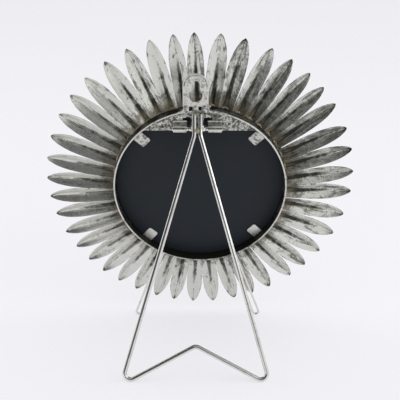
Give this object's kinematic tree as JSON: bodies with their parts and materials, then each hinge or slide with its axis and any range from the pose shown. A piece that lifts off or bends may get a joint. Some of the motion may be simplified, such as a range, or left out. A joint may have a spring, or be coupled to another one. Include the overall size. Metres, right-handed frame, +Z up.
{
  "type": "round photo frame",
  "caption": "Round metal photo frame ringed with folded leaves, with a folding wire easel leg, wire front feet and a keyhole hanger.",
  "frame": {"origin": "middle of the standing frame's footprint, on the table", "axes": "+Z up, the picture faces -Y and the easel leg stands behind it on the +Y side"},
  "size_m": [0.236, 0.1092, 0.2417],
  "materials": {
    "silver_leaf": "mottled antique silver with dark patina",
    "silver_band": "dark antique silver",
    "silver_sheet": "mottled zinc",
    "bright_wire": "bright drawn wire",
    "braze": "dull braze",
    "board": "black faced board",
    "print": "plain matt paper",
    "glass": "clear"
  },
  "bodies": {
    "frame": {"ring_band": "silver_band", "front_bezel": "silver_band", "glass": "glass", "photo_insert": "print", "backing_board": "board", "hinge_plate": "silver_sheet", "hanger_plate": "silver_sheet", "hinge_knuckle_left": "silver_sheet", "hinge_knuckle_right": "silver_sheet", "front_foot_left": "bright_wire", "front_foot_right": "bright_wire", "petal_01": "silver_leaf", "petal_02": "silver_leaf", "petal_03": "silver_leaf", "petal_04": "silver_leaf", "petal_05": "silver_leaf", "petal_06": "silver_leaf", "petal_07": "silver_leaf", "petal_08": "silver_leaf", "petal_09": "silver_leaf", "petal_10": "silver_leaf", "petal_11": "silver_leaf", "petal_12": "silver_leaf", "petal_13": "silver_leaf", "petal_14": "silver_leaf", "petal_15": "silver_leaf", "petal_16": "silver_leaf", "petal_17": "silver_leaf", "petal_18": "silver_leaf", "petal_19": "silver_leaf", "petal_20": "silver_leaf", "petal_21": "silver_leaf", "petal_22": "silver_leaf", "petal_23": "silver_leaf", "petal_24": "silver_leaf", "petal_25": "silver_leaf", "petal_26": "silver_leaf", "petal_27": "silver_leaf", "petal_28": "silver_leaf", "petal_29": "silver_leaf", "petal_30": "silver_leaf", "petal_31": "silver_leaf", "petal_32": "silver_leaf", "petal_33": "silver_leaf", "petal_34": "silver_leaf", "petal_35": "silver_leaf", "petal_36": "silver_leaf", "petal_37": "silver_leaf", "petal_38": "silver_leaf", "petal_39": "silver_leaf", "petal_40": "silver_leaf", "petal_41": "silver_leaf", "petal_42": "silver_leaf"},
    "stand": {"hinge_rod": "bright_wire", "easel_leg": "bright_wire", "leg_weld": "braze"},
    "tab_1": {"retaining_tab_1": "silver_sheet"},
    "tab_2": {"retaining_tab_2": "silver_sheet"},
    "tab_3": {"retaining_tab_3": "silver_sheet"},
    "tab_4": {"retaining_tab_4": "silver_sheet"}
  },
  "joints": [
    {"name": "leg_fold", "type": "hinge", "parent": "frame", "child": "stand", "pos_m": [0.00181, -0.00664, 0.17384], "axis": [-1, 0, 0], "range_deg": [0, 28]},
    {"name": "tab_1_bend", "type": "hinge", "parent": "frame", "child": "tab_1", "pos_m": [0.0471, -0.01825, 0.16598], "axis": [0.6704, -0.1288, -0.7307], "range_deg": [0, 85]},
    {"name": "tab_2_bend", "type": "hinge", "parent": "frame", "child": "tab_2", "pos_m": [0.04188, -0.03395, 0.07693], "axis": [-0.7513, -0.1146, -0.65], "range_deg": [0, 85]},
    {"name": "tab_3_bend", "type": "hinge", "parent": "frame", "child": "tab_3", "pos_m": [-0.04584, -0.03332, 0.08048], "axis": [-0.6947, 0.1249, 0.7084], "range_deg": [0, 85]},
    {"name": "tab_4_bend", "type": "hinge", "parent": "frame", "child": "tab_4", "pos_m": [-0.04592, -0.01799, 0.16742], "axis": [0.6934, 0.1251, 0.7096], "range_deg": [0, 85]}
  ]
}
